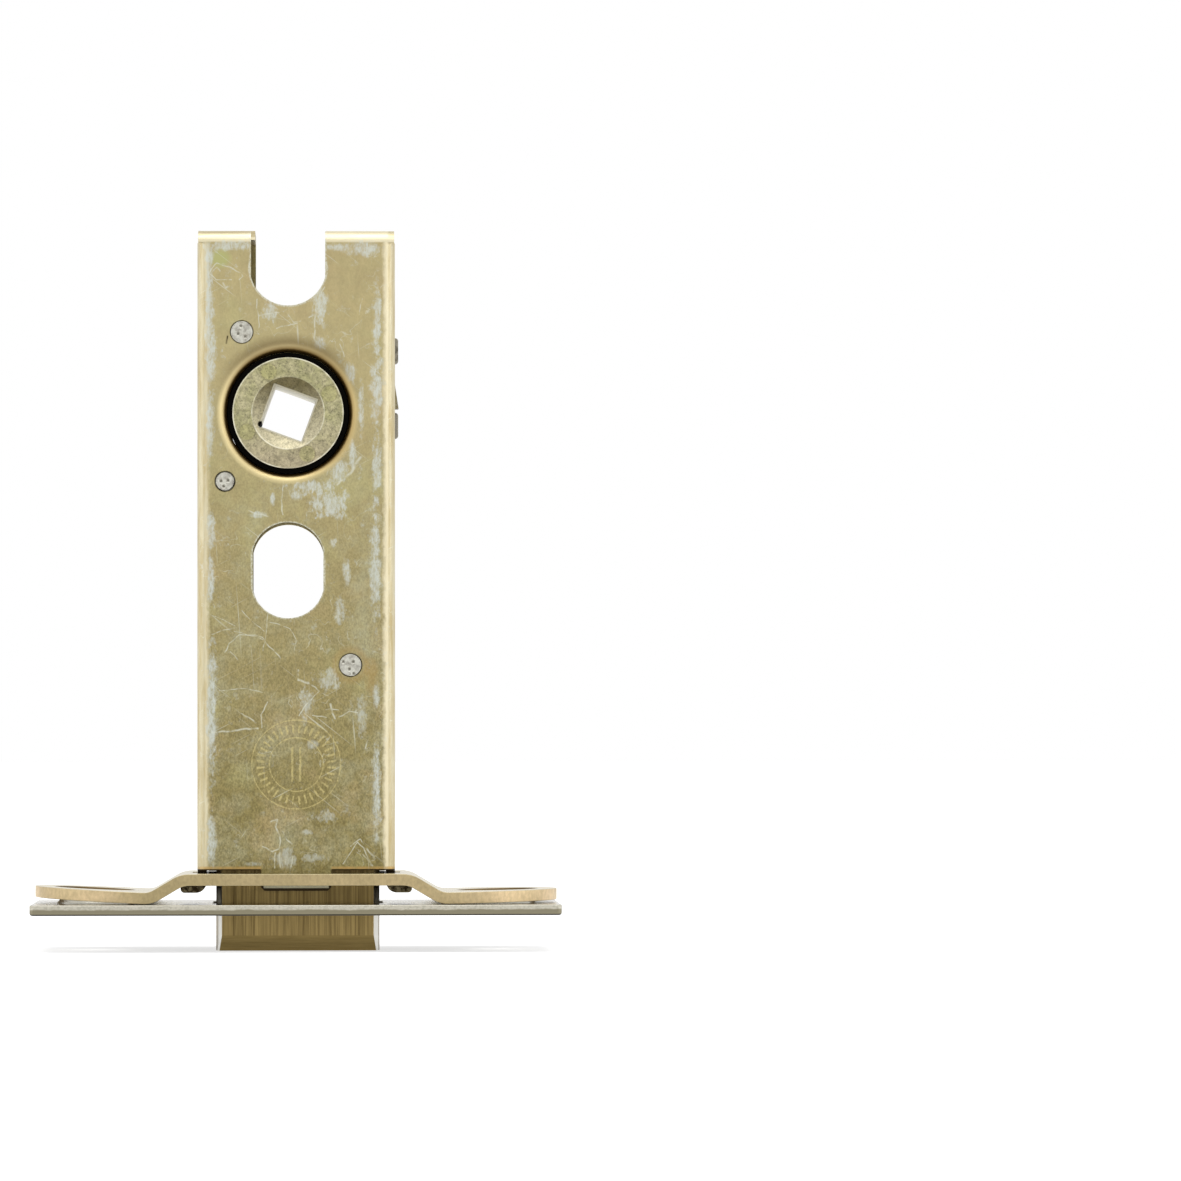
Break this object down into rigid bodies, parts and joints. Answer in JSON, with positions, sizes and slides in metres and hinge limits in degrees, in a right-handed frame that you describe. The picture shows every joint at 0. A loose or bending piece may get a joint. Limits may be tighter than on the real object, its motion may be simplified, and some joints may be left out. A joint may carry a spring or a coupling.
{
  "type": "tubular bathroom deadbolt",
  "caption": "Narrow mortice deadbolt for a bored door: a square spindle turns a follower that slides the bolt through a two-screw forend.",
  "frame": {"origin": "centre of the outer forend's outer face, midway between the two wood screws", "axes": "+X along the forend, +Y from the front of the case to its rear cover, +Z from the forend into the door"},
  "size_m": [0.06, 0.025, 0.082],
  "materials": {
    "zinc_case": "folded steel, yellow passivated zinc, worn to blue-grey at the bends",
    "zinc_cover": "flat steel, yellow passivated zinc",
    "zinc_forend": "steel, yellow passivated zinc, sheared edges",
    "bronze_forend": "steel, brushed and blackened bronze outer face",
    "brass_bolt": "brushed brown brass",
    "cast_hub": "zinc die casting, dull yellow-grey",
    "staked_pins": "bright steel with small staking dents",
    "inner_steel": "plain bright steel",
    "spring_steel": "blued spring steel"
  },
  "bodies": {
    "case": {"case_shell": "zinc_case", "rear_cover": "zinc_cover", "inner_forend": "zinc_forend", "outer_forend": "bronze_forend", "spring_pin_upper": "staked_pins", "spring_pin_lower": "staked_pins", "stop_pin": "staked_pins", "tail_guide": "inner_steel", "detent_spring": "spring_steel"},
    "follower": {"follower_hub": "cast_hub"},
    "bolt": {"bolt_head": "brass_bolt", "bolt_tail": "inner_steel", "tail_rivet_left": "inner_steel", "tail_rivet_right": "inner_steel"}
  },
  "joints": [
    {"name": "follower_turn", "type": "hinge", "parent": "case", "child": "follower", "pos_m": [-0.00093, 0, 0.057], "axis": [0, 1, 0], "range_deg": [-20, 70]},
    {"name": "bolt_slide", "type": "slide", "parent": "case", "child": "bolt", "axis": [0, 0, -1], "range_m": [-0.00251, 0.0088]}
  ],
  "couplings": [
    {"joint": "follower_turn", "follows": "bolt_slide", "rad_per_m": 138.84}
  ]
}
